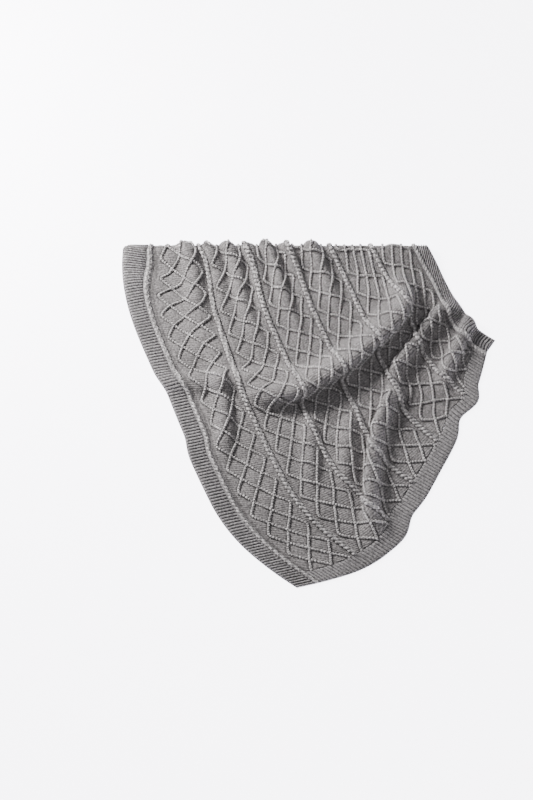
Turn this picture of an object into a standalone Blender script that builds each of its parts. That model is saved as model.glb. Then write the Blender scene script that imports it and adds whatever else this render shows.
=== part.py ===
"""A grey cable-knit throw, laid out on the floor with its near corner pointing forward.

The throw is one knitted main panel with a sewn-on rib band along each long side. Its far part is
turned under along the top line, gathers run down from there, and soft folds cross the rest.
All lengths are metres, +Z is up. In the cloth itself u runs along the short end, v along the long
side and w from the back of the knit to its face.
"""
import math
from collections import namedtuple

import bmesh
import bpy
import numpy as np

# The whole throw.
WIDTH = 1.300
LENGTH = 1.700
THICK = 0.004

# The main panel's columns: lattice panels with a rope cable in each gap between two of them.
BAND_WIDTH = 0.085
SEAM_GAP = 0.0005
SIDE_MARGIN = 0.017
PANELS = 6
PANEL_CELLS = 4
CELL_ROWS = 32
ROPE_GAP = 0.036
END_HIGH = 0.066
LATTICE_WIDE = WIDTH - 2.0 * (BAND_WIDTH + SIDE_MARGIN) - (PANELS - 1) * ROPE_GAP
CELL_WIDE = LATTICE_WIDE / (PANELS * PANEL_CELLS)
CELL_HIGH = (LENGTH - 2.0 * END_HIGH) / CELL_ROWS

# The raised knitting.
CORD_RISE = 0.0048
CORD_HALF = 0.0050
ROPE_RISE = 0.0070
ROPE_HALF = 0.0100
ROPE_SWAY = 0.0035
RIB_RISE = 0.0036
CELL_RIBS = 3
ROPE_RIBS = 3
MARGIN_RIBS = 1
RIB_END = 0.0045
TUBE_RISE = 0.0042

# The side bands, measured in from the outer edge.
SELVEDGE = 0.005
RIB_TO = 0.063
TUBE_CREST = 0.0745
BAND_RIBS = 4
BAND_END_RIBS = 5

# The far part turned under along a straight top line.
TOP_LINE = 1.360
TURN_RADIUS = 0.009
TURN_STEPS = 3
LAYER_GAP = 0.003
TURN_RAMP = 0.110
RAMP_NEAR = 0.058
RAMP_FAR = 0.150
WAVE_REACH = 0.036
PATTERN_STOP = 0.014
MERGE_ANGLE = 6.0

# How the two borders at the near corner head off, in degrees from +X.
Heading = namedtuple("Heading", "at degrees")
END_BORDER = [
    Heading(0.00, 12.0),
    Heading(0.18, 18.0),
    Heading(0.34, 40.0),
    Heading(0.60, 52.0),
    Heading(0.80, 62.0),
    Heading(1.00, 69.0),
    Heading(1.30, 78.0),
]
SIDE_BORDER = [
    Heading(0.00, 147.0),
    Heading(0.20, 138.0),
    Heading(0.45, 116.0),
    Heading(0.90, 111.0),
    Heading(1.05, 114.0),
    Heading(1.30, 115.5),
    Heading(1.48, 119.5),
    Heading(1.60, 115.0),
    Heading(1.70, 108.0),
]

# The far right part is pulled out to the side by this much, from these places in the cloth on.
SPREAD = 0.080
SPREAD_U = 0.650
SPREAD_V = 0.500

# The turned-under left corner is drawn in by this much, so that it stays out of sight.
TUCK = 0.075
TUCK_U = 0.450
TUCK_V = 1.560

# Gathers along the knitting's columns: where the crest runs, half the cloth it takes, how steep it
# gets, and the depths in the plan where it sets in and is full.
Gather = namedtuple("Gather", "crest half steep start full")
GATHER_NORMAL = 22.0
GATHERS = [
    Gather(0.216, 0.050, 46.0, 0.80, 1.36),
    Gather(0.304, 0.038, 42.0, 0.96, 1.38),
    Gather(0.386, 0.044, 54.0, 0.78, 1.36),
    Gather(0.470, 0.040, 40.0, 1.04, 1.38),
    Gather(0.556, 0.046, 58.0, 0.90, 1.36),
    Gather(0.644, 0.042, 38.0, 1.12, 1.40),
    Gather(0.758, 0.052, 50.0, 1.06, 1.38),
]

# Folds across the plan: a point of the crest, its heading, half the cloth it takes, its steepness,
# how far it runs behind and ahead of the point, its soft ends, the crest's bow, how far the crest
# leans, and the side that stays put.
Fold = namedtuple("Fold", "x y heading half steep behind ahead soft bow lean keep")
FOLDS = [
    Fold(0.18, 0.94, 41.0, 0.112, 67.0, 0.48, 0.42, 0.20, 0.42, 0.58, 1),
    Fold(0.47, 0.95, 55.0, 0.062, 66.0, 0.26, 0.24, 0.12, 0.00, -0.20, -1),
    Fold(0.61, 0.94, 64.0, 0.056, 58.0, 0.22, 0.22, 0.11, 0.00, 0.00, -1),
    Fold(0.34, 0.56, 80.0, 0.072, 70.0, 0.42, 0.27, 0.16, 0.00, -0.40, -1),
    Fold(0.19, 0.50, 86.0, 0.052, 34.0, 0.22, 0.22, 0.14, 0.00, 0.00, -1),
    Fold(0.05, 0.52, 90.0, 0.054, 30.0, 0.20, 0.22, 0.14, 0.00, 0.00, -1),
    Fold(-0.28, 0.68, 97.0, 0.060, 44.0, 0.22, 0.22, 0.14, 0.00, 0.20, 1),
    Fold(-0.22, 0.80, 4.0, 0.070, 30.0, 0.34, 0.34, 0.16, 0.15, 0.00, 1),
]

GREY_PANEL = (0.335, 0.325, 0.325, 1.0)
GREY_BAND = (0.350, 0.340, 0.340, 1.0)


def ease(t):
    """Runs softly from 0 to 1."""
    t = np.clip(t, 0.0, 1.0)
    return t * t * (3.0 - 2.0 * t)


def border_path(table, length):
    """Points along a border at even steps, from its table of headings."""
    at = np.linspace(0.0, length, 341)
    angle = np.radians(np.interp(at, [row.at for row in table], [row.degrees for row in table]))
    step = at[1] - at[0]
    x = np.concatenate([[0.0], np.cumsum(np.cos((angle[1:] + angle[:-1]) / 2.0)) * step])
    y = np.concatenate([[0.0], np.cumsum(np.sin((angle[1:] + angle[:-1]) / 2.0)) * step])
    return at, x, y


END_PATH = border_path(END_BORDER, WIDTH)
SIDE_PATH = border_path(SIDE_BORDER, LENGTH)


def wave(place, steep):
    """Across and up, for half the cloth a wave takes as 1: no thread is stretched."""
    middles = (np.arange(12) + 0.5) / 12.0
    near = place[:, None] * middles
    across = place * np.cos(steep[:, None] * np.sin(math.pi * near)).mean(axis=1)
    start = np.abs(place)
    far = start[:, None] + (1.0 - start)[:, None] * middles
    up = (1.0 - start) * np.sin(steep[:, None] * np.sin(math.pi * far)).mean(axis=1)
    return across, up


def fold_over(m, half, steep, keep):
    """The shift along the fold's normal and the height, for cloth at m from the crest."""
    place = np.clip(m / half, -1.0, 1.0)
    across, up = wave(place, steep)
    edge, _ = wave(np.ones_like(place), steep)
    return half * (across - place + keep * (1.0 - edge)), half * up


def lay_out(u, v):
    """Where the cloth lies in plan before its far part is turned under, and its folds' height."""
    x = np.interp(u, END_PATH[0], END_PATH[1]) + np.interp(v, SIDE_PATH[0], SIDE_PATH[1])
    y = np.interp(u, END_PATH[0], END_PATH[2]) + np.interp(v, SIDE_PATH[0], SIDE_PATH[2])
    x = x + SPREAD * ease((u - SPREAD_U) / (WIDTH - SPREAD_U)) * ease(v / SPREAD_V)
    x = x + TUCK * (1.0 - ease(u / TUCK_U)) * ease((v - TUCK_V) / (LENGTH - TUCK_V))
    z = np.zeros_like(x)
    depth = y.copy()
    across = math.radians(GATHER_NORMAL)
    for row in GATHERS:
        steep = math.radians(row.steep) * ease((depth - row.start) / (row.full - row.start))
        shift, up = fold_over(u - row.crest, row.half, steep, 1)
        x = x + shift * math.cos(across)
        y = y + shift * math.sin(across)
        z = z + up
    for row in FOLDS:
        angle = math.radians(row.heading)
        ahead = (math.cos(angle), math.sin(angle))
        right = (ahead[1], -ahead[0])
        along = (x - row.x) * ahead[0] + (y - row.y) * ahead[1]
        m = (x - row.x) * right[0] + (y - row.y) * right[1] + row.bow * along * along
        fade = ease((along + row.behind) / row.soft) * ease((row.ahead - along) / row.soft)
        shift, up = fold_over(m, row.half, math.radians(row.steep) * fade, row.keep)
        shift = shift + row.lean * up * fade
        x = x + shift * right[0]
        y = y + shift * right[1]
        z = z + up
    return x, y, z


def flap_outline():
    """The plan of the turned-under part, as a closed line of points."""
    side = np.linspace(0.0, LENGTH, 120)
    end = np.linspace(WIDTH, 0.0, 90)
    u = np.concatenate([np.full(120, WIDTH), end, np.zeros(120)])
    v = np.concatenate([side, np.full(90, LENGTH), side[::-1]])
    x, y, _ = lay_out(u, v)
    turned = y > TOP_LINE + math.pi * TURN_RADIUS
    mirrored = 2.0 * TOP_LINE + math.pi * TURN_RADIUS - y
    return np.stack([x[turned], mirrored[turned]], axis=1)


FLAP = flap_outline()


def off_flap(x, y):
    """How far a place lies outside the turned-under part's plan; 0 inside it."""
    start = FLAP
    reach = np.roll(FLAP, -1, axis=0) - start
    span = np.maximum((reach**2).sum(axis=1), 1e-12)
    dx = x[:, None] - start[:, 0]
    dy = y[:, None] - start[:, 1]
    t = np.clip((dx * reach[:, 0] + dy * reach[:, 1]) / span, 0.0, 1.0)
    away = np.hypot(dx - t * reach[:, 0], dy - t * reach[:, 1]).min(axis=1)
    rises = (start[:, 1] > y[:, None]) != (start[:, 1] + reach[:, 1] > y[:, None])
    level = np.where(reach[:, 1] == 0.0, 1.0, reach[:, 1])
    cross = start[:, 0] + (y[:, None] - start[:, 1]) / level * reach[:, 0]
    inside = (rises & (x[:, None] < cross)).sum(axis=1) % 2 == 1
    return np.where(inside, 0.0, away)


TURN_HEIGHT = THICK + 2.0 * TURN_RADIUS


def back_surface(u, v):
    """The back of the cloth before the turn, with the top line's height as 0, and its waves."""
    x, y, z = lay_out(u, v)
    z = np.where(y < TOP_LINE + math.pi * TURN_RADIUS + WAVE_REACH, z, 0.0)
    cover = 1.0 - ease((off_flap(x, y) - RAMP_NEAR) / (RAMP_FAR - RAMP_NEAR))
    over = cover * (THICK + LAYER_GAP)
    near_turn = ease((y - TOP_LINE + TURN_RAMP) / TURN_RAMP)
    low = (over - TURN_HEIGHT) * (1.0 - near_turn)
    return np.stack([x, y, z + low, z], axis=1)


def faded(points):
    """Places whose waves sink in the turn, so that the turned-under part lies flat."""
    x, y, z, height = points.T
    return np.stack([x, y, z - height * ease((y - TOP_LINE) / (math.pi * TURN_RADIUS))], axis=1)


def surface_normal(u, v):
    """The way the face looks."""
    step = 0.006
    along_u = faded(back_surface(u + step, v)) - faded(back_surface(u - step, v))
    along_v = faded(back_surface(u, v + step)) - faded(back_surface(u, v - step))
    normal = np.cross(along_u, along_v)
    return normal / np.linalg.norm(normal, axis=1)[:, None]


def turn_under(points):
    """Bends everything past the top line under, round the turn's radius."""
    x, y, z = points.T
    past = np.maximum(y - TOP_LINE, 0.0)
    angle = np.minimum(past / TURN_RADIUS, math.pi)
    rest = np.maximum(past - math.pi * TURN_RADIUS, 0.0)
    radius = TURN_RADIUS + z
    turned_y = TOP_LINE + radius * np.sin(angle) - rest
    turned_z = TURN_HEIGHT - TURN_RADIUS + radius * np.cos(angle)
    before = y <= TOP_LINE
    y = np.where(before, y, turned_y)
    z = np.where(before, TURN_HEIGHT + z, turned_z)
    return np.stack([x, y, z], axis=1)


class Knit:
    """The points and faces of one piece of cloth in its own flat measures."""

    def __init__(self):
        self.index = {}
        self.points = []
        self.faces = []

    def point(self, u, v, rise, back=False):
        key = (round(u * 1e6), round(v * 1e6), back)
        if key not in self.index:
            self.index[key] = len(self.points)
            self.points.append((u, v, rise, 0.0 if back else 1.0))
        return self.index[key]

    def face(self, *corners):
        self.faces.append(corners)


def shape(name, knit):
    """The mesh of a piece, laid over the cloth's folded surface."""
    flat = np.array(knit.points)
    u, v, rise, front = flat.T
    place = back_surface(u, v)
    raised = rise * (place[:, 1] < TOP_LINE - PATTERN_STOP)
    heights = place[:, 3] + raised
    place = place[:, :3] + surface_normal(u, v) * (front * THICK + raised)[:, None]

    mesh = bpy.data.meshes.new(name)
    mesh.from_pydata(place.tolist(), [], knit.faces)
    body = bmesh.new()
    body.from_mesh(mesh)
    waves = body.verts.layers.float.new("wave")
    seams = body.verts.layers.float.new("seam")
    to_seam = np.minimum(np.abs(u - BAND_WIDTH), np.abs(WIDTH - u - BAND_WIDTH))
    for vertex, height, away in zip(body.verts, heights, to_seam):
        vertex[waves] = height
        vertex[seams] = float(away < SEAM_GAP)
    levels = [TOP_LINE + math.pi * TURN_RADIUS * step / TURN_STEPS for step in range(TURN_STEPS + 1)]
    for level in levels:
        bmesh.ops.bisect_plane(
            body,
            geom=body.verts[:] + body.edges[:] + body.faces[:],
            dist=1e-5,
            plane_co=(0.0, level, 0.0),
            plane_no=(0.0, 1.0, 0.0),
        )
    bmesh.ops.recalc_face_normals(body, faces=body.faces[:])

    def kept(edge):
        one, other = edge.verts
        on_level = any(max(abs(one.co.y - level), abs(other.co.y - level)) < 2e-5 for level in levels)
        return on_level or min(one[seams], other[seams]) > 0.99

    bmesh.ops.dissolve_limit(
        body,
        angle_limit=math.radians(MERGE_ANGLE),
        verts=[vertex for vertex in body.verts if vertex[seams] < 0.99],
        edges=[edge for edge in body.edges if not kept(edge)],
    )
    bmesh.ops.triangulate(body, faces=body.faces[:])
    bmesh.ops.recalc_face_normals(body, faces=body.faces[:])
    bent = turn_under(faded(np.array([(*vertex.co, vertex[waves]) for vertex in body.verts])))
    for vertex, co in zip(body.verts, bent):
        vertex.co = co
    body.verts.layers.float.remove(seams)
    body.verts.layers.float.remove(body.verts.layers.float["wave"])
    body.to_mesh(mesh)
    body.free()
    return mesh


def lattice_cell(knit, u0, u1, v0, v1, even):
    """A quarter of two diamonds, with the cord between them along its diagonal."""
    slant = math.hypot(CELL_WIDE, CELL_HIGH)
    inset_u = CORD_HALF * slant / CELL_HIGH
    inset_v = CORD_HALF * slant / CELL_WIDE
    if even:
        crossings = [(u0, v0), (u1, v1)]
        floors = [(u1, v0), (u0, v1)]
    else:
        crossings = [(u1, v0), (u0, v1)]
        floors = [(u0, v0), (u1, v1)]
    half_way = knit.point((u0 + u1) / 2.0, (v0 + v1) / 2.0, CORD_RISE)
    for floor_u, floor_v in floors:
        level = next(c for c in crossings if c[1] == floor_v)
        upright = next(c for c in crossings if c[0] == floor_u)
        middle = knit.point(floor_u, floor_v, 0.0)
        a = knit.point(level[0], level[1], CORD_RISE)
        b = knit.point(upright[0], upright[1], CORD_RISE)
        toward = math.copysign(inset_u, floor_u - level[0])
        foot_a = knit.point(level[0] + toward, floor_v, 0.0)
        toward = math.copysign(inset_v, floor_v - upright[1])
        foot_b = knit.point(floor_u, upright[1] + toward, 0.0)
        foot_u = (level[0] + floor_u + math.copysign(inset_u, floor_u - level[0])) / 2.0
        foot_v = (upright[1] + floor_v + math.copysign(inset_v, floor_v - upright[1])) / 2.0
        foot = knit.point(foot_u, foot_v, 0.0)
        knit.face(middle, foot_a, foot)
        knit.face(middle, foot, foot_b)
        knit.face(foot_a, a, half_way)
        knit.face(foot_a, half_way, foot)
        knit.face(foot, half_way, b)
        knit.face(foot, b, foot_b)
    centre = knit.point((u0 + u1) / 2.0, (v0 + v1) / 2.0, 0.0, True)
    for level_u, level_v in crossings:
        for floor_u, floor_v in floors:
            ends = [knit.point(cu, cv, 0.0, True) for cu, cv in ((level_u, level_v), (floor_u, floor_v))]
            knit.face(*ends, centre)


def edge_strip(knit, u_edge, u_out, v_cross, v_floor):
    """The floor between a lattice panel's edge and the next column, beside one cord's end."""
    inset_v = CORD_HALF * math.hypot(CELL_WIDE, CELL_HIGH) / CELL_WIDE
    cross = knit.point(u_edge, v_cross, CORD_RISE)
    floor = knit.point(u_edge, v_floor, 0.0)
    foot = knit.point(u_edge, v_cross + math.copysign(inset_v, v_floor - v_cross), 0.0)
    out_cross = knit.point(u_out, v_cross, 0.0)
    out_floor = knit.point(u_out, v_floor, 0.0)
    knit.face(cross, foot, out_cross)
    knit.face(floor, out_floor, foot)
    knit.face(foot, out_floor, out_cross)


def rope_cell(knit, u0, u1, v0, v1):
    """One cell's height of a rope cable: its crest sways from side to side."""
    middle = (u0 + u1) / 2.0
    half_way = (v0 + v1) / 2.0
    low = knit.point(middle + ROPE_SWAY, v0, ROPE_RISE)
    turn = knit.point(middle - ROPE_SWAY, half_way, ROPE_RISE)
    high = knit.point(middle + ROPE_SWAY, v1, ROPE_RISE)
    for foot_u in (middle - ROPE_HALF, middle + ROPE_HALF):
        foot_low = knit.point(foot_u, v0, 0.0)
        foot_high = knit.point(foot_u, v1, 0.0)
        knit.face(foot_low, low, turn)
        knit.face(foot_low, turn, foot_high)
        knit.face(foot_high, turn, high)


def back_cells(knit, u_cells, v0, v1):
    """Plain back faces under the cells between the given lines."""
    for u0, u1 in zip(u_cells, u_cells[1:]):
        corners = [(u0, v0), (u1, v0), (u1, v1), (u0, v1)]
        a, b, c, d = (knit.point(cu, cv, 0.0, True) for cu, cv in corners)
        knit.face(a, b, c)
        knit.face(a, c, d)


def end_ribs(knit, inner, u0, u1, ribs, v_in, v_out):
    """Ribs across one cell of an end border; inner is the chain of points along its inner side."""
    toward = math.copysign(RIB_END, v_out - v_in)
    pitch = (u1 - u0) / ribs
    valleys = [u0 + pitch * k for k in range(ribs + 1)]
    outer = []
    meets = []
    for k, u in enumerate(valleys):
        outer.append(knit.point(u, v_out, 0.0))
        meets.append(knit.point(u, v_in + toward, 0.0))
        if k:
            crest_out = knit.point(u - pitch / 2.0, v_out, RIB_RISE)
            crest_in = knit.point(u - pitch / 2.0, v_in + 2.0 * toward, RIB_RISE)
            knit.face(outer[-2], crest_out, crest_in, meets[-2])
            knit.face(crest_out, outer[-1], meets[-1], crest_in)
            knit.face(crest_in, meets[-1], meets[-2])
            outer.insert(-1, crest_out)
    knit.face(*meets, *reversed(inner))
    return outer


def panel_columns():
    """The front's columns from side to side: kind, start and end."""
    columns = []
    u = BAND_WIDTH + SEAM_GAP / 2.0
    columns.append(("side", u, BAND_WIDTH + SIDE_MARGIN))
    u = BAND_WIDTH + SIDE_MARGIN
    for panel in range(PANELS):
        for _ in range(PANEL_CELLS):
            columns.append(("lattice", u, u + CELL_WIDE))
            u += CELL_WIDE
        if panel < PANELS - 1:
            columns.append(("rope", u, u + ROPE_GAP))
            u += ROPE_GAP
    columns.append(("side", u, WIDTH - BAND_WIDTH - SEAM_GAP / 2.0))
    return columns


def row_lines():
    """The lines across the cloth: both end borders and every cell row between them."""
    rows = [0.0] + [END_HIGH + CELL_HIGH * j for j in range(CELL_ROWS + 1)] + [LENGTH]
    return np.array(rows)


def main_panel():
    """The cable-knit panel, with the ribbed end borders knitted in one with it."""
    knit = Knit()
    columns = panel_columns()
    rows = row_lines()
    slant = math.hypot(CELL_WIDE, CELL_HIGH)
    inset_u = CORD_HALF * slant / CELL_HIGH
    cell = 0
    for kind, u0, u1 in columns:
        middle = (u0 + u1) / 2.0
        back_u = [u0, u1]
        left_side = u0 < WIDTH / 2.0
        for j in range(CELL_ROWS):
            v0 = rows[j + 1]
            v1 = rows[j + 2]
            cross, floor = (v0, v1) if j % 2 == 0 else (v1, v0)
            if kind == "lattice":
                lattice_cell(knit, u0, u1, v0, v1, (cell + j) % 2 == 0)
            elif kind == "rope":
                edge_strip(knit, u0, middle - ROPE_HALF, cross, floor)
                edge_strip(knit, u1, middle + ROPE_HALF, cross, floor)
                rope_cell(knit, u0, u1, v0, v1)
                back_cells(knit, back_u, v0, v1)
            else:
                edge, out = (u1, u0) if left_side else (u0, u1)
                edge_strip(knit, edge, out, cross, floor)
                back_cells(knit, back_u, v0, v1)
                wall = [knit.point(out, v, 0.0) for v in (v0, v1)]
                knit.face(*wall, *(knit.point(out, v, 0.0, True) for v in (v1, v0)))
        for v_in, v_out in ((rows[1], rows[0]), (rows[-2], rows[-1])):
            if kind == "lattice":
                raised_first = cell % 2 == 0
                foot = u0 + inset_u if raised_first else u1 - inset_u
                inner = [knit.point(u, v_in, 0.0) for u in (u0, foot, u1)]
                ribs = CELL_RIBS
            elif kind == "rope":
                places = (u0, middle - ROPE_HALF, middle + ROPE_SWAY, middle + ROPE_HALF, u1)
                inner = [knit.point(u, v_in, 0.0) for u in places]
                ribs = ROPE_RIBS
            else:
                inner = [knit.point(u, v_in, 0.0) for u in (u0, u1)]
                ribs = MARGIN_RIBS
            outer = end_ribs(knit, inner, u0, u1, ribs, v_in, v_out)
            back_cells(knit, back_u, min(v_in, v_out), max(v_in, v_out))
            knit.face(*outer, *(knit.point(u, v_out, 0.0, True) for u in reversed(back_u)))
            if kind == "side":
                out = u0 if left_side else u1
                near = v_in + math.copysign(RIB_END, v_out - v_in)
                wall = [knit.point(out, v, 0.0) for v in (v_in, near, v_out)]
                knit.face(*wall, *(knit.point(out, v, 0.0, True) for v in (v_out, v_in)))
        if kind == "lattice":
            cell = (cell + 1) % PANEL_CELLS
    return shape("main_panel", knit)


def side_band(name, outer, inward):
    """A sewn-on band: cross ribs between a selvedge and a tube along the seam."""
    knit = Knit()
    rows = row_lines()
    inner = BAND_WIDTH - SEAM_GAP / 2.0

    def at(distance, v, rise=0.0, back=False):
        return knit.point(outer + inward * distance, v, rise, back)

    for v0, v1 in zip(rows, rows[1:]):
        ribs = BAND_RIBS if v1 - v0 < END_HIGH - 1e-6 else BAND_END_RIBS
        pitch = (v1 - v0) / ribs
        valleys = [v0 + pitch * k for k in range(ribs)] + [v1]
        for low, high in zip(valleys, valleys[1:]):
            crest = (low + high) / 2.0
            near = at(SELVEDGE + RIB_END, crest, RIB_RISE)
            far = at(RIB_TO - RIB_END, crest, RIB_RISE)
            knit.face(at(SELVEDGE, low), at(RIB_TO, low), far, near)
            knit.face(near, far, at(RIB_TO, high), at(SELVEDGE, high))
            knit.face(at(SELVEDGE, low), near, at(SELVEDGE, high))
            knit.face(at(RIB_TO, low), at(RIB_TO, high), far)
        knit.face(at(0.0, v0), *(at(SELVEDGE, v) for v in valleys), at(0.0, v1))
        tube = (at(TUBE_CREST, v1, TUBE_RISE), at(TUBE_CREST, v0, TUBE_RISE))
        knit.face(*(at(RIB_TO, v) for v in valleys), *tube)
        knit.face(*reversed(tube), at(inner, v1), at(inner, v0))
        corners = [(0.0, v0), (0.0, v1), (inner, v1), (inner, v0)]
        knit.face(*(at(distance, v, 0.0, True) for distance, v in corners))
        for edge in (0.0, inner):
            knit.face(at(edge, v0), at(edge, v1), at(edge, v1, 0.0, True), at(edge, v0, 0.0, True))
    for v in (rows[0], rows[-1]):
        front = [at(0.0, v), at(SELVEDGE, v), at(RIB_TO, v), at(TUBE_CREST, v, TUBE_RISE), at(inner, v)]
        knit.face(*front, at(inner, v, 0.0, True), at(0.0, v, 0.0, True))
    return shape(name, knit)


def coloured(name, mesh, colour):
    """The named object in its own matt wool."""
    material = bpy.data.materials.new(name + "_yarn")
    material.use_nodes = True
    shader = material.node_tree.nodes["Principled BSDF"]
    shader.inputs["Base Color"].default_value = colour
    shader.inputs["Roughness"].default_value = 0.95
    mesh.materials.append(material)
    part = bpy.data.objects.new(name, mesh)
    bpy.context.scene.collection.objects.link(part)


def build():
    """The three sewn pieces, with the throw's box centred over the origin."""
    for old in list(bpy.data.objects):
        bpy.data.objects.remove(old, do_unlink=True)
    meshes = [
        ("main_panel", main_panel(), GREY_PANEL),
        ("side_band_left", side_band("side_band_left", 0.0, 1.0), GREY_BAND),
        ("side_band_right", side_band("side_band_right", WIDTH, -1.0), GREY_BAND),
    ]
    corners = np.concatenate([[vertex.co[:] for vertex in mesh.vertices] for _, mesh, _ in meshes])
    low = corners.min(axis=0)
    high = corners.max(axis=0)
    centre = np.array([(low[0] + high[0]) / 2.0, (low[1] + high[1]) / 2.0, low[2]])
    for name, mesh, colour in meshes:
        for vertex in mesh.vertices:
            vertex.co = np.array(vertex.co[:]) - centre
        coloured(name, mesh, colour)


build()
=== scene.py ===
"""The look of the cable-knit throw: its knitted cloth, cords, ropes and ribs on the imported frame.

As in the solids, u runs along the cloth's short end, v along its long side and w from the back of
the knit to its face. Lengths are metres.
"""
import math
from collections import namedtuple

import bpy
import numpy as np
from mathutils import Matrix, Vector


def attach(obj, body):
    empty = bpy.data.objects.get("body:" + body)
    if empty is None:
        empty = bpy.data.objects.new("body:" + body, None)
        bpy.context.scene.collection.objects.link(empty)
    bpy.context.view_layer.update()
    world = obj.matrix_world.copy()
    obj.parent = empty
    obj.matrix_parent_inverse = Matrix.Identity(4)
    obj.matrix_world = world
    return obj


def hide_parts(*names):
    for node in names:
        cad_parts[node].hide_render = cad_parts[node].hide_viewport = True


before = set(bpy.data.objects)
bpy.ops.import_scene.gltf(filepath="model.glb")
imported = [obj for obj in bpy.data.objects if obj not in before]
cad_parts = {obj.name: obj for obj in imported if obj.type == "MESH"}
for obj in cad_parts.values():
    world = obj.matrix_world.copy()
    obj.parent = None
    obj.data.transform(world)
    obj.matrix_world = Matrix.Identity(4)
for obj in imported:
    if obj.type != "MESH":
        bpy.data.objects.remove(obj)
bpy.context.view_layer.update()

# The cloth's sizes, the same as in the solids.
WIDTH = 1.300
LENGTH = 1.700
THICK = 0.004
BAND_WIDTH = 0.085
SIDE_MARGIN = 0.017
PANELS = 6
PANEL_CELLS = 4
CELL_ROWS = 32
ROPE_GAP = 0.036
END_HIGH = 0.066
LATTICE_WIDE = WIDTH - 2.0 * (BAND_WIDTH + SIDE_MARGIN) - (PANELS - 1) * ROPE_GAP
CELL_WIDE = LATTICE_WIDE / (PANELS * PANEL_CELLS)
CELL_HIGH = (LENGTH - 2.0 * END_HIGH) / CELL_ROWS
PANEL_WIDE = PANEL_CELLS * CELL_WIDE
PANEL_STEP = PANEL_WIDE + ROPE_GAP
LATTICE_START = BAND_WIDTH + SIDE_MARGIN

# The middle of the plan as it is laid out from the near corner. It becomes the world's origin.
PLAN_CENTRE = (0.032947, 0.693687)

# The far part turned under along a straight top line, the lift of the top layer over it, and the grid
# of the plan on which that lift is worked out. Places on the grid stay just short of its last row.
TOP_LINE = 1.360
TURN_RADIUS = 0.009
TURN_HEIGHT = THICK + 2.0 * TURN_RADIUS
TURN_LENGTH = math.pi * TURN_RADIUS
LAYER_GAP = 0.003
FLOOR_GAP = 0.0002
TURN_RAMP = 0.110
RAMP_NEAR = 0.058
RAMP_FAR = 0.150
COVER_STEP = 0.012
COVER_LEFT = -0.80
COVER_RIGHT = 0.86
COVER_NEAR = -0.10
COVER_PAST = 0.03
SHORT_OF_END = 1.001

# How finely the borders, a fold's wave, the flap's outline and the cloth's slope are followed, and how
# steep, in radians, a fold has to be to count.
PATH_SAMPLES = 341
WAVE_SAMPLES = 10
SIDE_POINTS = 90
END_POINTS = 60
SLOPE_STEP = 0.003
FLAT_FOLD = 1e-4

# The lattice's ground: the gap at its seams, here a small overlap, and its swells and dips.
SEAM = -0.0008
SHEET_STEP = 0.0052
PILLOW = 0.0026
PILLOW_REACH = 0.8
PANEL_FADE = 0.25
GROUND_DIP = 0.0006

# The cords of the lattice. The strays are in radians per metre of cord.
CORD_RADIUS = 0.0045
CORD_LUMP = 0.0110
CORD_SWELL = 0.22
CORD_WANDER = 0.0008
SLOW_STRAY = 43.0
FAST_STRAY = 71.0
CORD_CENTRE = 0.0056
CORD_WEAVE = 0.0011
CORD_SETTLE = 0.8
CORD_BOUNCE = 0.0060
CORD_STEP = 0.0021
CORD_SIDES = 8
CORD_REACH = 0.020
END_SINK = 0.0060

# The ropes between the panels, of two strands each.
ROPE_STRAND = 0.0052
ROPE_TURN = 0.0052
ROPE_SQUASH = 0.50
ROPE_SWELL = 0.10
ROPE_PITCH = 0.0360
ROPE_CENTRE = 0.0062
ROPE_STEP = 0.0026
ROPE_SIDES = 9

# The ribs of the borders, the tube along a side band and the twisted edge cord on it.
RIB_RISE = 0.0050
RIB_SHAPE = 0.6
GROOVE_DIP = 0.0008
BAND_RIBS = 4
END_RIBS = 5
RIB_WIDE = 0.0126
RIB_END = 0.003
SELVEDGE = 0.005
RIB_TO = 0.063
TUBE_CREST = 0.0745
TUBE_HALF = 0.0098
TUBE_RISE = 0.0048
EDGE_STRAND = 0.0046
EDGE_TURN = 0.0040
EDGE_SQUASH = 0.6
EDGE_PITCH = 0.0300
EDGE_CENTRE = 0.0060
EDGE_STOP = 0.002

# Where the rows of points in the borders' meshes run: across a side band from its outer edge, across
# its tube as parts of the tube's half width, and across an end border as parts of its height.
BAND_STEP = 0.0015
BAND_ROWS = (0.0, 0.002, 0.0035, 0.005, 0.0065, 0.020, 0.034, 0.048, 0.0615, 0.063, 0.0645)
TUBE_ROWS = (-0.95, -0.75, -0.5, -0.25, 0.0, 0.25, 0.5, 0.75, 0.95)
END_STEP = 0.0016
END_ROWS = (0.0, 0.03, 0.06, 0.2, 0.4, 0.6, 0.8, 0.94, 0.98, 1.0)
END_FADE = 0.004

# How many of a face's rows of points, in u and in v, go by for one row of its back.
GROUND_BACK = (4, 4)
END_BACK = (8, 3)
BAND_BACK = (6, 12)

# How the two borders at the near corner head off, in degrees from +X.
Heading = namedtuple("Heading", "at degrees")
END_BORDER = [
    Heading(0.00, 12.0),
    Heading(0.18, 18.0),
    Heading(0.34, 40.0),
    Heading(0.60, 52.0),
    Heading(0.80, 62.0),
    Heading(1.00, 69.0),
    Heading(1.30, 78.0),
]
SIDE_BORDER = [
    Heading(0.00, 147.0),
    Heading(0.20, 138.0),
    Heading(0.45, 116.0),
    Heading(0.90, 111.0),
    Heading(1.05, 114.0),
    Heading(1.30, 115.5),
    Heading(1.48, 119.5),
    Heading(1.60, 115.0),
    Heading(1.70, 108.0),
]

# The far right part is pulled out to the side by this much, from these places in the cloth on.
SPREAD = 0.080
SPREAD_U = 0.650
SPREAD_V = 0.500

# The turned-under left corner is drawn in by this much, so that it stays out of sight.
TUCK = 0.075
TUCK_U = 0.450
TUCK_V = 1.560

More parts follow.
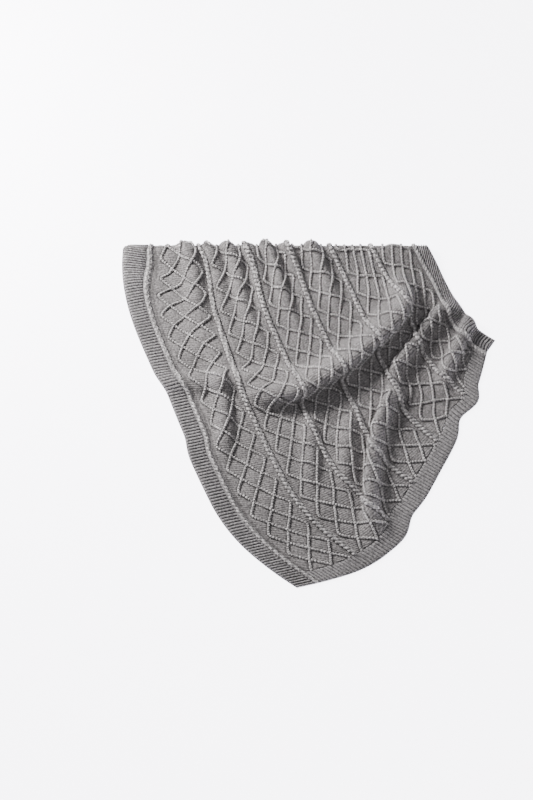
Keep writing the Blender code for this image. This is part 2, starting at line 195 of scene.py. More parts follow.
# Gathers along the knitting's columns: where the crest runs, half the cloth it takes, how steep it
# gets, and the depths in the plan where it sets in and is full.
Gather = namedtuple("Gather", "crest half steep start full")
GATHER_NORMAL = 22.0
GATHERS = [
    Gather(0.216, 0.050, 46.0, 0.80, 1.36),
    Gather(0.304, 0.038, 42.0, 0.96, 1.38),
    Gather(0.386, 0.044, 54.0, 0.78, 1.36),
    Gather(0.470, 0.040, 40.0, 1.04, 1.38),
    Gather(0.556, 0.046, 58.0, 0.90, 1.36),
    Gather(0.644, 0.042, 38.0, 1.12, 1.40),
    Gather(0.758, 0.052, 50.0, 1.06, 1.38),
]

# Folds across the plan: a point of the crest, its heading, half the cloth it takes, its steepness,
# how far it runs behind and ahead of the point, its soft ends, the crest's bow, how far the crest
# leans, and the side that stays put.
Fold = namedtuple("Fold", "x y heading half steep behind ahead soft bow lean keep")
FOLDS = [
    Fold(0.18, 0.94, 41.0, 0.112, 67.0, 0.48, 0.42, 0.20, 0.42, 0.58, 1),
    Fold(0.47, 0.95, 55.0, 0.062, 66.0, 0.26, 0.24, 0.12, 0.00, -0.20, -1),
    Fold(0.61, 0.94, 64.0, 0.056, 58.0, 0.22, 0.22, 0.11, 0.00, 0.00, -1),
    Fold(0.34, 0.56, 80.0, 0.072, 70.0, 0.42, 0.27, 0.16, 0.00, -0.40, -1),
    Fold(0.19, 0.50, 86.0, 0.052, 34.0, 0.22, 0.22, 0.14, 0.00, 0.00, -1),
    Fold(0.05, 0.52, 90.0, 0.054, 30.0, 0.20, 0.22, 0.14, 0.00, 0.00, -1),
    Fold(-0.28, 0.68, 97.0, 0.060, 44.0, 0.22, 0.22, 0.14, 0.00, 0.20, 1),
    Fold(-0.22, 0.80, 4.0, 0.070, 30.0, 0.34, 0.34, 0.16, 0.15, 0.00, 1),
]


def ease(t):
    """0 up to t = 0, 1 from t = 1 on, and a soft rise between."""
    t = np.clip(t, 0.0, 1.0)
    return t * t * (3.0 - 2.0 * t)


def border_path(table, length):
    """A border's course in plan: the distances along it, and x and y there."""
    at = np.linspace(0.0, length, PATH_SAMPLES)
    angle = np.radians(np.interp(at, [row.at for row in table], [row.degrees for row in table]))
    step = at[1] - at[0]
    x = np.concatenate([[0.0], np.cumsum(np.cos((angle[1:] + angle[:-1]) / 2.0)) * step])
    y = np.concatenate([[0.0], np.cumsum(np.sin((angle[1:] + angle[:-1]) / 2.0)) * step])
    return at, x, y


END_PATH = border_path(END_BORDER, WIDTH)
SIDE_PATH = border_path(SIDE_BORDER, LENGTH)


def wave(place, steep):
    """How far across and up a fold of half width 1 gets, at a place from -1 to 1 along its cloth."""
    middles = (np.arange(WAVE_SAMPLES) + 0.5) / WAVE_SAMPLES
    near = place[:, None] * middles
    across = place * np.cos(steep[:, None] * np.sin(math.pi * near)).mean(axis=1)
    start = np.abs(place)
    far = start[:, None] + (1.0 - start)[:, None] * middles
    up = (1.0 - start) * np.sin(steep[:, None] * np.sin(math.pi * far)).mean(axis=1)
    return across, up


def fold_over(m, half, steep, keep):
    """The shift and the rise of cloth that lies m to the right of a fold's crest."""
    place = np.clip(m / half, -1.0, 1.0)
    shift = np.zeros_like(m)
    up = np.zeros_like(m)
    some = steep > FLAT_FOLD
    if some.any():
        across, high = wave(place[some], steep[some])
        edge, _ = wave(np.ones(some.sum()), steep[some])
        shift[some] = half * (across - place[some] + keep * (1.0 - edge))
        up[some] = half * high
    return shift, up


def lay_out(u, v):
    """Where the cloth lies in plan before its far part is turned under, and its folds' height."""
    x = np.interp(u, END_PATH[0], END_PATH[1]) + np.interp(v, SIDE_PATH[0], SIDE_PATH[1])
    y = np.interp(u, END_PATH[0], END_PATH[2]) + np.interp(v, SIDE_PATH[0], SIDE_PATH[2])
    x = x + SPREAD * ease((u - SPREAD_U) / (WIDTH - SPREAD_U)) * ease(v / SPREAD_V)
    x = x + TUCK * (1.0 - ease(u / TUCK_U)) * ease((v - TUCK_V) / (LENGTH - TUCK_V))
    z = np.zeros_like(x)
    depth = y.copy()
    across = math.radians(GATHER_NORMAL)
    for row in GATHERS:
        steep = math.radians(row.steep) * ease((depth - row.start) / (row.full - row.start))
        shift, up = fold_over(u - row.crest, row.half, steep, 1)
        x = x + shift * math.cos(across)
        y = y + shift * math.sin(across)
        z = z + up
    for row in FOLDS:
        angle = math.radians(row.heading)
        ahead = (math.cos(angle), math.sin(angle))
        right = (ahead[1], -ahead[0])
        along = (x - row.x) * ahead[0] + (y - row.y) * ahead[1]
        m = (x - row.x) * right[0] + (y - row.y) * right[1] + row.bow * along * along
        fade = ease((along + row.behind) / row.soft) * ease((row.ahead - along) / row.soft)
        shift, up = fold_over(m, row.half, math.radians(row.steep) * fade, row.keep)
        shift = shift + row.lean * up * fade
        x = x + shift * right[0]
        y = y + shift * right[1]
        z = z + up
    return x, y, z


def flap_outline():
    """The outline in plan of the part that is turned under."""
    side = np.linspace(0.0, LENGTH, SIDE_POINTS)
    end = np.linspace(WIDTH, 0.0, END_POINTS)
    u = np.concatenate([np.full(SIDE_POINTS, WIDTH), end, np.zeros(SIDE_POINTS)])
    v = np.concatenate([side, np.full(END_POINTS, LENGTH), side[::-1]])
    x, y, _ = lay_out(u, v)
    turned = y > TOP_LINE + TURN_LENGTH
    mirrored = 2.0 * TOP_LINE + TURN_LENGTH - y
    return np.stack([x[turned], mirrored[turned]], axis=1)


FLAP = flap_outline()


def off_flap(x, y):
    """How far places in plan are outside the turned-under part, 0 inside it."""
    start = FLAP
    reach = np.roll(FLAP, -1, axis=0) - start
    span = np.maximum((reach**2).sum(axis=1), 1e-12)
    dx = x[:, None] - start[:, 0]
    dy = y[:, None] - start[:, 1]
    t = np.clip((dx * reach[:, 0] + dy * reach[:, 1]) / span, 0.0, 1.0)
    away = np.hypot(dx - t * reach[:, 0], dy - t * reach[:, 1]).min(axis=1)
    rises = (start[:, 1] > y[:, None]) != (start[:, 1] + reach[:, 1] > y[:, None])
    level = np.where(reach[:, 1] == 0.0, 1.0, reach[:, 1])
    cross = start[:, 0] + (y[:, None] - start[:, 1]) / level * reach[:, 0]
    inside = (rises & (x[:, None] < cross)).sum(axis=1) % 2 == 1
    return np.where(inside, 0.0, away)


# How much the top layer is lifted over the turned-under part, on an even grid of the plan.
COVER_X = np.arange(COVER_LEFT, COVER_RIGHT, COVER_STEP)
COVER_Y = np.arange(COVER_NEAR, TOP_LINE + COVER_PAST, COVER_STEP)
GRID_X, GRID_Y = np.meshgrid(COVER_X, COVER_Y, indexing="ij")
COVER = 1.0 - ease((off_flap(GRID_X.ravel(), GRID_Y.ravel()) - RAMP_NEAR) / (RAMP_FAR - RAMP_NEAR))
COVER = COVER.reshape(GRID_X.shape)


def covered(x, y):
    """The lift's part at places in plan, between the values on the grid."""
    i = np.clip((x - COVER_X[0]) / COVER_STEP, 0.0, len(COVER_X) - SHORT_OF_END)
    j = np.clip((y - COVER_Y[0]) / COVER_STEP, 0.0, len(COVER_Y) - SHORT_OF_END)
    a = i.astype(int)
    b = j.astype(int)
    p = i - a
    q = j - b
    low = COVER[a, b] * (1.0 - p) + COVER[a + 1, b] * p
    high = COVER[a, b + 1] * (1.0 - p) + COVER[a + 1, b + 1] * p
    return low * (1.0 - q) + high * q


def back_surface(u, v):
    """The back of the cloth before the turn, with the top line's height as 0."""
    x, y, z = lay_out(u, v)
    z = z * (1.0 - ease((y - TOP_LINE) / TURN_LENGTH))
    over = covered(x, y) * (THICK + LAYER_GAP)
    near_turn = ease((y - TOP_LINE + TURN_RAMP) / TURN_RAMP)
    return np.stack([x, y, z + (over - TURN_HEIGHT) * (1.0 - near_turn)], axis=1)


def turn_under(points):
    """Wraps what lies beyond the top line round the turn and back below, and centres the plan."""
    x, y, z = points.T
    past = np.maximum(y - TOP_LINE, 0.0)
    angle = np.minimum(past / TURN_RADIUS, math.pi)
    rest = np.maximum(past - TURN_LENGTH, 0.0)
    radius = TURN_RADIUS + z
    turned_y = TOP_LINE + radius * np.sin(angle) - rest
    turned_z = TURN_HEIGHT - TURN_RADIUS + radius * np.cos(angle)
    before = y <= TOP_LINE
    y = np.where(before, y, turned_y)
    z = np.where(before, TURN_HEIGHT + z, turned_z)
    return np.stack([x - PLAN_CENTRE[0], y - PLAN_CENTRE[1], z], axis=1)


def off_floor(points):
    """Lifts what would go through the floor to just over it."""
    points[..., 2] = np.maximum(points[..., 2], FLOOR_GAP)
    return points


def surface(u, v):
    """Places on the cloth's back and the way its face looks there."""
    u = np.asarray(u, dtype=float).ravel()
    v = np.asarray(v, dtype=float).ravel()
    d = SLOPE_STEP
    middle = turn_under(back_surface(u, v))
    along_u = turn_under(back_surface(u + d, v)) - turn_under(back_surface(u - d, v))
    along_v = turn_under(back_surface(u, v + d)) - turn_under(back_surface(u, v - d))
    normal = np.cross(along_u, along_v)
    normal /= np.linalg.norm(normal, axis=1)[:, None]
    return middle, normal


def add_object(name, data):
    """An object with this data, put in the scene."""
    made = bpy.data.objects.new(name, data)
    bpy.context.scene.collection.objects.link(made)
    return made


def add_piece(name, points, faces, coords, material):
    """A smooth mesh with its flat cloth coordinates kept for the knit's pattern."""
    mesh = bpy.data.meshes.new(name)
    mesh.from_pydata(np.asarray(points).tolist(), [], faces)
    mesh.polygons.foreach_set("use_smooth", np.ones(len(mesh.polygons), dtype=bool))
    layer = mesh.uv_layers.new(name="flat")
    corner = np.empty(len(mesh.loops), dtype=np.int32)
    mesh.loops.foreach_get("vertex_index", corner)
    layer.uv.foreach_set("vector", np.asarray(coords, dtype=np.float32)[corner].ravel())
    mesh.materials.append(material)
    mesh.validate()
    return add_object(name, mesh)


def grid_faces(rows, cols, offset=0, flip=False):
    """The quads of a grid whose points are numbered row by row from offset on."""
    a = (np.arange(rows - 1)[:, None] * cols + np.arange(cols - 1)).ravel() + offset
    quads = np.stack([a, a + cols, a + cols + 1, a + 1], axis=1)
    if flip:
        quads = quads[:, ::-1]
    return quads.tolist()


def closed_sheet(name, u, v, height, back_steps, material):
    """A closed piece of cloth: a fine face, a coarser back and the walls between them.

    height(u, v) is the face's height over the back. The back has one in so many of the face's rows of
    points, in u and in v, as back_steps says.
    """
    grid_u, grid_v = np.meshgrid(u, v, indexing="ij")
    middle, normal = surface(grid_u, grid_v)
    face = off_floor(middle + normal * height(grid_u, grid_v).ravel()[:, None])
    back_u = every(len(u), back_steps[0])
    back_v = every(len(v), back_steps[1])
    index = (np.array(back_u)[:, None] * len(v) + np.array(back_v)).ravel()
    back = middle[index]
    points = np.concatenate([face, back])
    flat = np.stack([grid_u.ravel(), grid_v.ravel()], axis=1)
    coords = np.concatenate([flat, flat[index]])
    faces = grid_faces(len(u), len(v))
    start = len(face)
    faces += grid_faces(len(back_u), len(back_v), start, True)

    def wall(front_at, back_at, picks, flip):
        for k in range(len(picks) - 1):
            front = [front_at(i) for i in range(picks[k], picks[k + 1] + 1)]
            ring = front + [back_at(k + 1), back_at(k)]
            faces.append(ring[::-1] if flip else ring)

    n = len(v)
    m = len(back_v)
    last_u = len(u) - 1
    last_back = len(back_u) - 1
    wall(lambda i: i, lambda k: start + k, back_v, False)
    wall(lambda i: last_u * n + i, lambda k: start + last_back * m + k, back_v, True)
    wall(lambda i: i * n, lambda k: start + k * m, back_u, True)
    wall(lambda i: i * n + n - 1, lambda k: start + k * m + m - 1, back_u, False)
    return add_piece(name, points, faces, coords, material)


def every(count, step):
    """Indices from 0 to count - 1 at a step, with the last one always in."""
    picks = list(range(0, count - 1, step))
    if len(picks) > 1 and count - 1 - picks[-1] < step / 2.0:
        picks.pop()
    return picks + [count - 1]


def tubes(name, paths, sides, radius, material):
    """Closed tubes of yarn along paths of u, v, w and swell, where swell scales the radius."""
    points = []
    faces = []
    coords = []
    total = 0
    turn = np.arange(sides) * 2.0 * math.pi / sides
    middle, normal = surface(
        np.concatenate([path[0] for path in paths]), np.concatenate([path[1] for path in paths])
    )
    at = 0
    for u, v, w, swell in paths:
        count = len(u)
        up = normal[at : at + count]
        base = middle[at : at + count] + up * w[:, None]
        at += count
        along = np.gradient(base, axis=0)
        along /= np.linalg.norm(along, axis=1)[:, None]
        side = np.cross(along, up)
        side /= np.linalg.norm(side, axis=1)[:, None]
        rise = np.cross(side, along)
        far = np.concatenate([[0.0], np.cumsum(np.linalg.norm(np.diff(base, axis=0), axis=1))])
        reach = (radius * swell)[:, None, None]
        ring = base[:, None] + reach * (
            side[:, None] * np.cos(turn)[None, :, None] + rise[:, None] * np.sin(turn)[None, :, None]
        )
        points.append(off_floor(ring.reshape(-1, 3)))
        coords.append(np.stack([np.repeat(far, sides), np.tile(turn / (2.0 * math.pi), count)], axis=1))
        first = (np.arange(count - 1)[:, None] * sides + np.arange(sides)).ravel()
        second = (np.arange(count - 1)[:, None] * sides + (np.arange(sides) + 1) % sides).ravel()
        quads = np.stack([first, second, second + sides, first + sides], axis=1) + total
        faces += quads.tolist()
        faces.append((np.arange(sides)[::-1] + total).tolist())
        faces.append((np.arange(sides) + total + (count - 1) * sides).tolist())
        total += count * sides
    return add_piece(name, np.concatenate(points), faces, np.concatenate(coords), material)


def shown_runs(path, shortest=8):
    """The stretches of a path that aren't turned under, but for very short ones."""
    _, y, _ = lay_out(path[0], path[1])
    keep = y < TOP_LINE + CORD_REACH
    edges = np.flatnonzero(np.diff(np.concatenate([[0], keep.astype(int), [0]])))
    for start, end in zip(edges[::2], edges[1::2]):
        if end - start > shortest:
            yield tuple(column[start:end] for column in path)


def sunk_ends(v):
    """1 along the lattice, and 0 just past both its ends, where yarn goes into the borders."""
    inside = np.minimum(v - END_HIGH, LENGTH - END_HIGH - v)
    return ease((inside + END_SINK) / END_SINK)


def cord_paths(panel):
    """The knobbly cords of a panel, bouncing between its edges, crossing over and under."""
    count = int(CELL_ROWS * math.hypot(CELL_WIDE, CELL_HIGH) / CORD_STEP)
    row = np.linspace(-END_SINK / CELL_HIGH, CELL_ROWS + END_SINK / CELL_HIGH, count)
    v = END_HIGH + row * CELL_HIGH
    length = row * math.hypot(CELL_WIDE, CELL_HIGH)
    for cord in range(PANEL_CELLS):
        phase = 2.0 * cord
        x = (row + phase) % (2.0 * PANEL_CELLS)
        rightward = x < PANEL_CELLS
        place = np.where(rightward, x, 2.0 * PANEL_CELLS - x)
        inside = np.minimum(place, PANEL_CELLS - place) * CELL_WIDE
        bend = np.sqrt(inside**2 + CORD_BOUNCE**2)
        u = np.where(place < PANEL_CELLS / 2.0, bend, PANEL_WIDE - bend)
        angle = 2.0 * math.pi * length / CORD_LUMP
        stray = np.sin(length * SLOW_STRAY + phase + panel) + np.sin(length * FAST_STRAY + 2.0 * phase)
        u = u + LATTICE_START + panel * PANEL_STEP + CORD_WANDER * (np.cos(angle) + stray)
        over = np.where(rightward, -1.0, 1.0) * np.cos(math.pi * place)
        w = CORD_CENTRE + CORD_WEAVE * over * ease(inside / (CORD_SETTLE * CELL_WIDE))
        yield u, v, w * sunk_ends(v), 1.0 + CORD_SWELL * np.cos(angle)


def rope_paths(panel):
    """The two strands twisted round each other in the gap after a panel."""
    middle = LATTICE_START + panel * PANEL_STEP + PANEL_WIDE + ROPE_GAP / 2.0
    v = np.arange(END_HIGH - END_SINK, LENGTH - END_HIGH + END_SINK, ROPE_STEP)
    for strand in (0.0, math.pi):
        angle = 2.0 * math.pi * v / ROPE_PITCH + strand
        u = middle + ROPE_TURN * np.cos(angle)
        w = ROPE_CENTRE + ROPE_SQUASH * ROPE_TURN * np.sin(angle)
        yield u, v, w * sunk_ends(v), 1.0 + ROPE_SWELL * np.sin(angle)


def seam_rope(outer, inward):
    """The twisted edge cord that a side band ends in, along its seam."""
    v = np.arange(EDGE_STOP, LENGTH - EDGE_STOP, ROPE_STEP)
    for strand in (0.0, math.pi):
        angle = 2.0 * math.pi * v / EDGE_PITCH + strand
        u = outer + inward * (TUBE_CREST + EDGE_TURN * np.cos(angle))
        w = EDGE_CENTRE + EDGE_SQUASH * EDGE_TURN * np.sin(angle)
        yield u, v, w, np.ones_like(v)


def ground_height(u, v):
    """The lattice's floor: each diamond swells between its cords, and dips beside a rope."""
    across = (u - LATTICE_START) % PANEL_STEP
    row = (v - END_HIGH) / CELL_HIGH
    column = across / CELL_WIDE
    rising = np.abs(((row + column) / 2.0 + 0.5) % 1.0 - 0.5) * 2.0
    falling = np.abs(((row - column) / 2.0 + 0.5) % 1.0 - 0.5) * 2.0
    clear = np.minimum(rising, falling)
    edge = np.minimum(across, PANEL_WIDE - across) / CELL_WIDE
    swell = ease(clear / PILLOW_REACH) * (across < PANEL_WIDE) * ease(edge / PANEL_FADE)
    return THICK - GROUND_DIP + PILLOW * swell


def rib(phase):
    """A rounded rib for each whole phase, with a narrow groove on both sides."""
    return np.abs(np.sin(math.pi * phase)) ** RIB_SHAPE


def band_phase(v):
    """The ribs passed along a side band: a little wider along the end borders."""
    inner = np.clip(v - END_HIGH, 0.0, LENGTH - 2.0 * END_HIGH)
    ends = v - inner
    return inner * BAND_RIBS / CELL_HIGH + ends * END_RIBS / END_HIGH


def band_height(distance, v):
    """Cross ribs between a selvedge and the tube along the seam."""
    outer_end = ease((distance - SELVEDGE + RIB_END / 2.0) / RIB_END)
    inner_end = ease((RIB_TO + RIB_END / 2.0 - distance) / RIB_END)
    on_ribs = outer_end * inner_end
    tube = np.clip(1.0 - ((distance - TUBE_CREST) / TUBE_HALF) ** 2, 0.0, 1.0) ** 0.5
    return THICK - GROOVE_DIP + RIB_RISE * rib(band_phase(v)) * on_ribs + TUBE_RISE * tube


def build_ground(material):
    """The lattice's cloth between the two end borders and the two side bands."""
    start = BAND_WIDTH + SEAM
    u = np.linspace(start, WIDTH - start, int((WIDTH - 2.0 * start) / SHEET_STEP))
    v = np.linspace(END_HIGH, LENGTH - END_HIGH, int((LENGTH - 2.0 * END_HIGH) / SHEET_STEP))
    return closed_sheet("knit_ground", u, v, ground_height, GROUND_BACK, material)


def build_end_ribs(name, inner, outer, material):
    """A ribbed end border: its ribs run out from the lattice to the edge."""
    start = BAND_WIDTH + SEAM
    u = np.linspace(start, WIDTH - start, int((WIDTH - 2.0 * start) / END_STEP))
    v = np.sort(inner + (outer - inner) * np.array(END_ROWS))

    def height(grid_u, grid_v):
        ends = ease(np.abs(grid_v - inner) / END_FADE) * ease(np.abs(grid_v - outer) / END_FADE)
        return THICK - GROOVE_DIP + RIB_RISE * rib((grid_u - start) / RIB_WIDE) * ends

    return closed_sheet(name, u, v, height, END_BACK, material)


def build_band(name, outer, inward, material):
    """A side band, from its outer edge to the seam."""
    tube = TUBE_CREST + TUBE_HALF * np.array(TUBE_ROWS)
    u = np.sort(outer + inward * np.concatenate([BAND_ROWS, tube, [BAND_WIDTH - SEAM]]))
    v = np.linspace(0.0, LENGTH, int(LENGTH / BAND_STEP))

    def height(grid_u, grid_v):
        return band_height(np.abs(grid_u - outer), grid_v)

    return closed_sheet(name, u, v, height, BAND_BACK, material)


class Nodes:
    """Short ways to write a material's node tree."""

    def __init__(self, material):
        material.use_nodes = True
        self.tree = material.node_tree
        self.shader = self.tree.nodes["Principled BSDF"]

    def add(self, kind, **values):
        """A new node with numbers or other nodes' outputs fed to its inputs by name."""
        made = self.tree.nodes.new("ShaderNode" + kind)
        for key, value in values.items():
            self.feed(made.inputs[key], value)
        return made

    def feed(self, socket, value):
        if isinstance(value, bpy.types.NodeSocket):
            self.tree.links.new(value, socket)
        else:
            socket.default_value = value

    def math(self, operation, *values):
        made = self.tree.nodes.new("ShaderNodeMath")
        made.operation = operation
        for socket, value in zip(made.inputs, values):
            self.feed(socket, value)
        return made.outputs[0]

    def away(self, value):
        """How far a value is from the nearest whole number, with half-way as 1."""
        part = self.math("FRACT", self.math("ADD", value, 0.5))
        return self.math("MULTIPLY", self.math("ABSOLUTE", self.math("SUBTRACT", part, 0.5)), 2.0)

    def step(self, value, low, high, to_low=0.0, to_high=1.0):
        """A soft change from to_low to to_high as a value goes from low to high."""
        made = self.add("MapRange", **{"Value": value, "From Min": low, "From Max": high})
        made.interpolation_type = "SMOOTHSTEP"
        made.inputs["To Min"].default_value = to_low
        made.inputs["To Max"].default_value = to_high
        return made.outputs["Result"]

    def noise(self, scale, detail):
        """Noise over the object's own space, with scale in waves per metre."""
        place = self.tree.nodes.new("ShaderNodeTexCoord").outputs["Object"]
        return self.add("TexNoise", Vector=place, Scale=scale, Detail=detail).outputs["Fac"]

    def flat(self):
        """The two flat coordinates that a piece's mesh carries."""
        uv = self.tree.nodes.new("ShaderNodeUVMap")
        uv.uv_map = "flat"
        split = self.add("SeparateXYZ", Vector=uv.outputs["UV"])
        return split.outputs["X"], split.outputs["Y"]

    def bump(self, height, strength, distance):
        made = self.add("Bump", Strength=strength, Distance=distance, Height=height)
        self.tree.links.new(made.outputs["Normal"], self.shader.inputs["Normal"])


def yarn(name, colour, painted_shade, relief, contrast, strength, distance):
    """Matt heathered yarn: a painted shade, when given, darkens it from place to place, and
    relief(nodes) raises it.

    contrast is how much the relief also paints light and shade into the colour: lighter where it is
    raised, darker in its hollows. strength and distance are its bump's.
    """
    material = bpy.data.materials.new(name)
    nodes = Nodes(material)
    nodes.shader.inputs["Roughness"].default_value = 0.95
    nodes.shader.inputs["Specular IOR Level"].default_value = 0.12
    nodes.shader.inputs["Sheen Weight"].default_value = 0.15
    nodes.shader.inputs["Sheen Roughness"].default_value = 0.60
    fibres = nodes.noise(scale=150.0, detail=4.0)
    level = nodes.step(fibres, low=0.34, high=0.68, to_low=0.58, to_high=1.42)
    patches = nodes.noise(scale=6.0, detail=2.0)
    clouds = nodes.step(patches, low=0.35, high=0.65, to_low=0.90, to_high=1.10)
    level = nodes.math("MULTIPLY", level, clouds)
    # Painted shade, where one is given.
    if painted_shade is not None:
        level = nodes.math("MULTIPLY", level, painted_shade(nodes))
    raised = relief(nodes)
    # Painted light and shade from the relief: raised parts lighter, hollows darker.
    relief_painted_light = nodes.step(raised, low=0.1, high=0.9, to_low=1.0 - contrast, to_high=1.0 + 0.5 * contrast)
    level = nodes.math("MULTIPLY", level, relief_painted_light)
    tint = nodes.add("CombineXYZ", X=nodes.math("MULTIPLY", level, colour[0]))
    nodes.feed(tint.inputs["Y"], nodes.math("MULTIPLY", level, colour[1]))
    nodes.feed(tint.inputs["Z"], nodes.math("MULTIPLY", level, colour[2]))
    nodes.feed(nodes.shader.inputs["Base Color"], tint.outputs["Vector"])
    nodes.bump(raised, strength, distance)
    return material


def stitches(pitch, turned=False):
    """Relief of small stitches: strong rows across the cloth, or along it if turned, broken up."""
    slant = 0.25
    break_rate = 0.8
    row_share = 0.78
    break_share = 0.22

    def relief(nodes):
        x, y = (nodes.math("MULTIPLY", value, 1.0 / pitch) for value in nodes.flat())
        if turned:
            x, y = y, x
        row = nodes.away(nodes.math("ADD", y, nodes.math("MULTIPLY", x, slant)))
        broken = nodes.away(nodes.math("MULTIPLY", x, break_rate))
        rows = nodes.math("MULTIPLY", row, row_share)
        return nodes.math("ADD", rows, nodes.math("MULTIPLY", broken, break_share))

    return relief


def twist(pitch):
    """Relief of plies laid round a tube of yarn."""

    def relief(nodes):
        along, around = nodes.flat()
        return nodes.away(nodes.math("ADD", nodes.math("MULTIPLY", along, 1.0 / pitch), around))

    return relief


def lattice_painted_shade(nodes):
    """Painted shade: darker close beside the cords and the ropes, where the knit is drawn in and shaded
    by them.
    """
    x, y = nodes.flat()
    across = nodes.math("FLOORED_MODULO", nodes.math("SUBTRACT", x, LATTICE_START), PANEL_STEP)
    column = nodes.math("MULTIPLY", across, 0.5 / CELL_WIDE)
    row = nodes.math("MULTIPLY", nodes.math("SUBTRACT", y, END_HIGH), 0.5 / CELL_HIGH)
    clear = nodes.math(
        "MINIMUM",
        nodes.away(nodes.math("ADD", row, column)),
        nodes.away(nodes.math("SUBTRACT", row, column)),
    )
    # Painted shade: the knit is darkened close beside the cords.
    cord_painted_shade = nodes.step(clear, low=0.10, high=0.40, to_low=0.46, to_high=1.0)
    rope = PANEL_WIDE + ROPE_GAP / 2.0
    from_rope = nodes.math("ABSOLUTE", nodes.math("SUBTRACT", across, rope))
    # Painted shade: the knit is darkened close beside the ropes.
    rope_painted_shade = nodes.step(from_rope, low=0.009, high=0.015, to_low=0.62, to_high=1.0)
    in_panel = nodes.math("LESS_THAN", across, PANEL_WIDE)
    in_gap = nodes.math("SUBTRACT", 1.0, in_panel)
    panel_painted_shade = nodes.math("MULTIPLY", cord_painted_shade, in_panel)
    return nodes.math("ADD", panel_painted_shade, nodes.math("MULTIPLY", rope_painted_shade, in_gap))


def groove_painted_shade(phase_of, wide, low):
    """Painted shade down in the grooves between ribs: low at their bottom, up to wide away from it, and
    a little painted light on the ribs.
    """

    def painted_shade(nodes):
        x, y = nodes.flat()
        from_groove = nodes.away(phase_of(nodes, x, y))
        # Painted shade in the grooves, and ribs a little lighter as painted light.
        return nodes.step(from_groove, low=0.05, high=wide, to_low=low, to_high=1.10)

    return painted_shade


def backdrop(name, colour, glow):
    """A pale, evenly lit surface with a faint unevenness."""
    unevenness = 0.012
    material = bpy.data.materials.new(name)
    nodes = Nodes(material)
    nodes.shader.inputs["Roughness"].default_value = 0.85
    ramp = nodes.add("ValToRGB", Fac=nodes.noise(scale=3.0, detail=2.0))
    ramp.color_ramp.elements[0].color = (*[c - unevenness for c in colour], 1.0)
    ramp.color_ramp.elements[1].color = (*colour, 1.0)
    nodes.feed(nodes.shader.inputs["Base Color"], ramp.outputs["Color"])
    nodes.feed(nodes.shader.inputs["Emission Color"], ramp.outputs["Color"])
    nodes.shader.inputs["Emission Strength"].default_value = glow
    return material


def band_ribs(nodes, x, y):
    """The ribs passed along a side band beside the lattice."""
    return nodes.math("MULTIPLY", nodes.math("SUBTRACT", y, END_HIGH), BAND_RIBS / CELL_HIGH)


def end_border_ribs(nodes, x, y):
    """The ribs passed along an end border."""
    return nodes.math("MULTIPLY", nodes.math("SUBTRACT", x, BAND_WIDTH + SEAM), 1.0 / RIB_WIDE)


def band_painted_shade(nodes):
    """Painted shade in the grooves of a side band, but not on its tube."""
    x, _ = nodes.flat()
    from_edge = nodes.math("MINIMUM", x, nodes.math("SUBTRACT", WIDTH, x))
    blend = 0.001
    on_tube = nodes.step(from_edge, RIB_TO - blend, RIB_TO + blend)
    painted_groove_shade = groove_painted_shade(band_ribs, wide=0.46, low=0.16)(nodes)
    return nodes.math("MAXIMUM", painted_groove_shade, on_tube)


# The yarns, with painted shade beside the cords and in the ribs' grooves, and painted light and shade
# from their relief.
GREY = (0.192, 0.181, 0.182)
CORD_GREY = (0.375, 0.358, 0.359)
ROPE_GREY = (0.365, 0.349, 0.350)
BAND_GREY = (0.200, 0.190, 0.194)
GROUND_PITCH = 0.0086
BORDER_PITCH = 0.0080
CORD_TWIST = 0.0110
ROPE_TWIST = 0.0180

ground_yarn = yarn(
    "ground_knit",
    GREY,
    lattice_painted_shade,
    stitches(GROUND_PITCH),
    contrast=0.28,
    strength=0.8,
    distance=0.0018,
)
cord_yarn = yarn(
    "cord_knit", CORD_GREY, None, twist(CORD_TWIST), contrast=0.38, strength=0.9, distance=0.0018
)
rope_yarn = yarn(
    "rope_knit", ROPE_GREY, None, twist(ROPE_TWIST), contrast=0.38, strength=0.9, distance=0.0026
)
band_yarn = yarn(
    "band_knit",
    BAND_GREY,
    band_painted_shade,
    stitches(BORDER_PITCH, turned=True),
    contrast=0.10,
    strength=0.3,
    distance=0.0008,
)
end_yarn = yarn(
    "end_knit",
    BAND_GREY,
    groove_painted_shade(end_border_ribs, wide=0.40, low=0.38),
    stitches(BORDER_PITCH),
    contrast=0.10,
    strength=0.3,
    distance=0.0008,
)

# The pieces of the throw.
ground = build_ground(ground_yarn)
near_ribs = build_end_ribs("end_ribs_near", END_HIGH, 0.0, end_yarn)
far_ribs = build_end_ribs("end_ribs_far", LENGTH - END_HIGH, LENGTH, end_yarn)
cords = []
for side, panels in (("left", range(PANELS // 2)), ("right", range(PANELS // 2, PANELS))):
    runs = [run for panel in panels for path in cord_paths(panel) for run in shown_runs(path)]
    cords.append(tubes("cords_" + side, runs, CORD_SIDES, CORD_RADIUS, cord_yarn))
runs = [run for panel in range(PANELS - 1) for path in rope_paths(panel) for run in shown_runs(path)]
ropes = tubes("rope_cables", runs, ROPE_SIDES, ROPE_STRAND, rope_yarn)
left_band = build_band("band_left", 0.0, 1.0, band_yarn)
right_band = build_band("band_right", WIDTH, -1.0, band_yarn)

# Which solids the pieces dress.
for piece in (ground, near_ribs, far_ribs, ropes, *cords):
    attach(piece, "root")
    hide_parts("main_panel")
for band, outer, inward, part in (
    (left_band, 0.0, 1.0, "side_band_left"),
    (right_band, WIDTH, -1.0, "side_band_right"),
):
    runs = [run for path in seam_rope(outer, inward) for run in shown_runs(path)]
    edge = tubes(part.replace("side_band", "edge_cord"), runs, ROPE_SIDES, EDGE_STRAND, rope_yarn)
    for piece in (band, edge):
        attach(piece, "root")
        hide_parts(part)


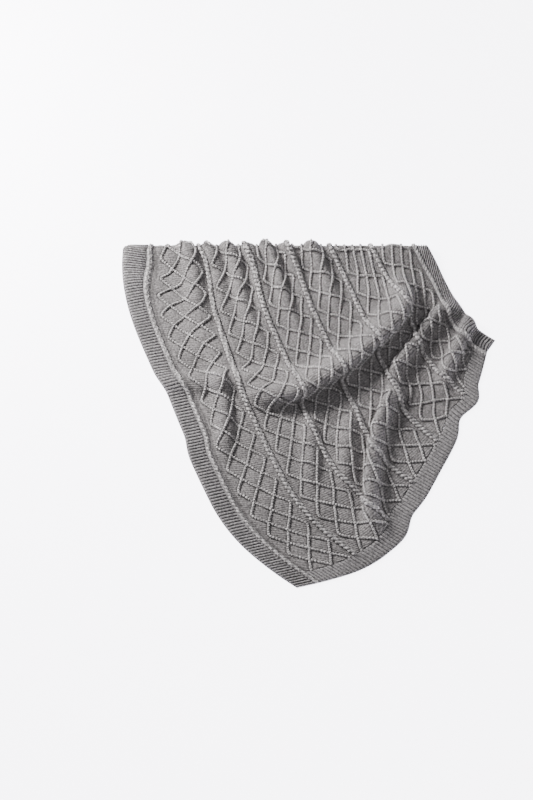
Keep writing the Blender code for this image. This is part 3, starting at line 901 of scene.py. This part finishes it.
def area_light(name, place, size, power, colour):
    """A soft light aimed at the throw's middle."""
    data = bpy.data.lights.new(name, "AREA")
    data.size = size
    data.energy = power
    data.color = colour
    light = add_object(name, data)
    light.location = place
    light.rotation_euler = (-Vector(place)).to_track_quat("-Z", "Y").to_euler()


# The studio: a pale floor, two lights and a faint sky.
FLOOR_HALF = 12.0
FLOOR_COLOUR = (0.90, 0.885, 0.95)
FLOOR_GLOW = 6.8
WORLD_COLOUR = (0.96, 0.965, 1.0, 1.0)
WORLD_STRENGTH = 0.16
floor_mesh = bpy.data.meshes.new("floor")
floor_corners = [(x * FLOOR_HALF, y * FLOOR_HALF, 0.0) for x, y in ((-1, -1), (1, -1), (1, 1), (-1, 1))]
floor_mesh.from_pydata(floor_corners, [], [(0, 1, 2, 3)])
floor_mesh.materials.append(backdrop("studio_floor", FLOOR_COLOUR, FLOOR_GLOW))
floor = add_object("floor", floor_mesh)

area_light("key", place=(-2.3, 1.7, 1.7), size=1.0, power=300.0, colour=(1.0, 0.985, 0.97))
area_light("fill", place=(1.6, -1.2, 3.2), size=2.6, power=44.0, colour=(0.98, 0.98, 1.0))
world = bpy.data.worlds.new("studio")
world.use_nodes = True
world.node_tree.nodes["Background"].inputs["Color"].default_value = WORLD_COLOUR
world.node_tree.nodes["Background"].inputs["Strength"].default_value = WORLD_STRENGTH
bpy.context.scene.world = world

# The camera, above and in front of the throw.
CAMERA_ELEVATION = math.radians(63.5)
CAMERA_DISTANCE = 5.62
CAMERA_AIM = Vector((0.0, 0.0, 0.03))
CAMERA_LENS = 70.0
CAMERA_SENSOR = 36.0
CAMERA_SHIFT = (-0.050, 0.004)
camera_data = bpy.data.cameras.new("camera")
camera_data.lens = CAMERA_LENS
camera_data.sensor_fit = "VERTICAL"
camera_data.sensor_height = CAMERA_SENSOR
camera_data.shift_x, camera_data.shift_y = CAMERA_SHIFT
camera = add_object("camera", camera_data)
back_off = Vector((0.0, -math.cos(CAMERA_ELEVATION), math.sin(CAMERA_ELEVATION)))
camera.location = CAMERA_AIM + back_off * CAMERA_DISTANCE
camera.rotation_euler = (-back_off).to_track_quat("-Z", "Y").to_euler()
bpy.context.scene.camera = camera
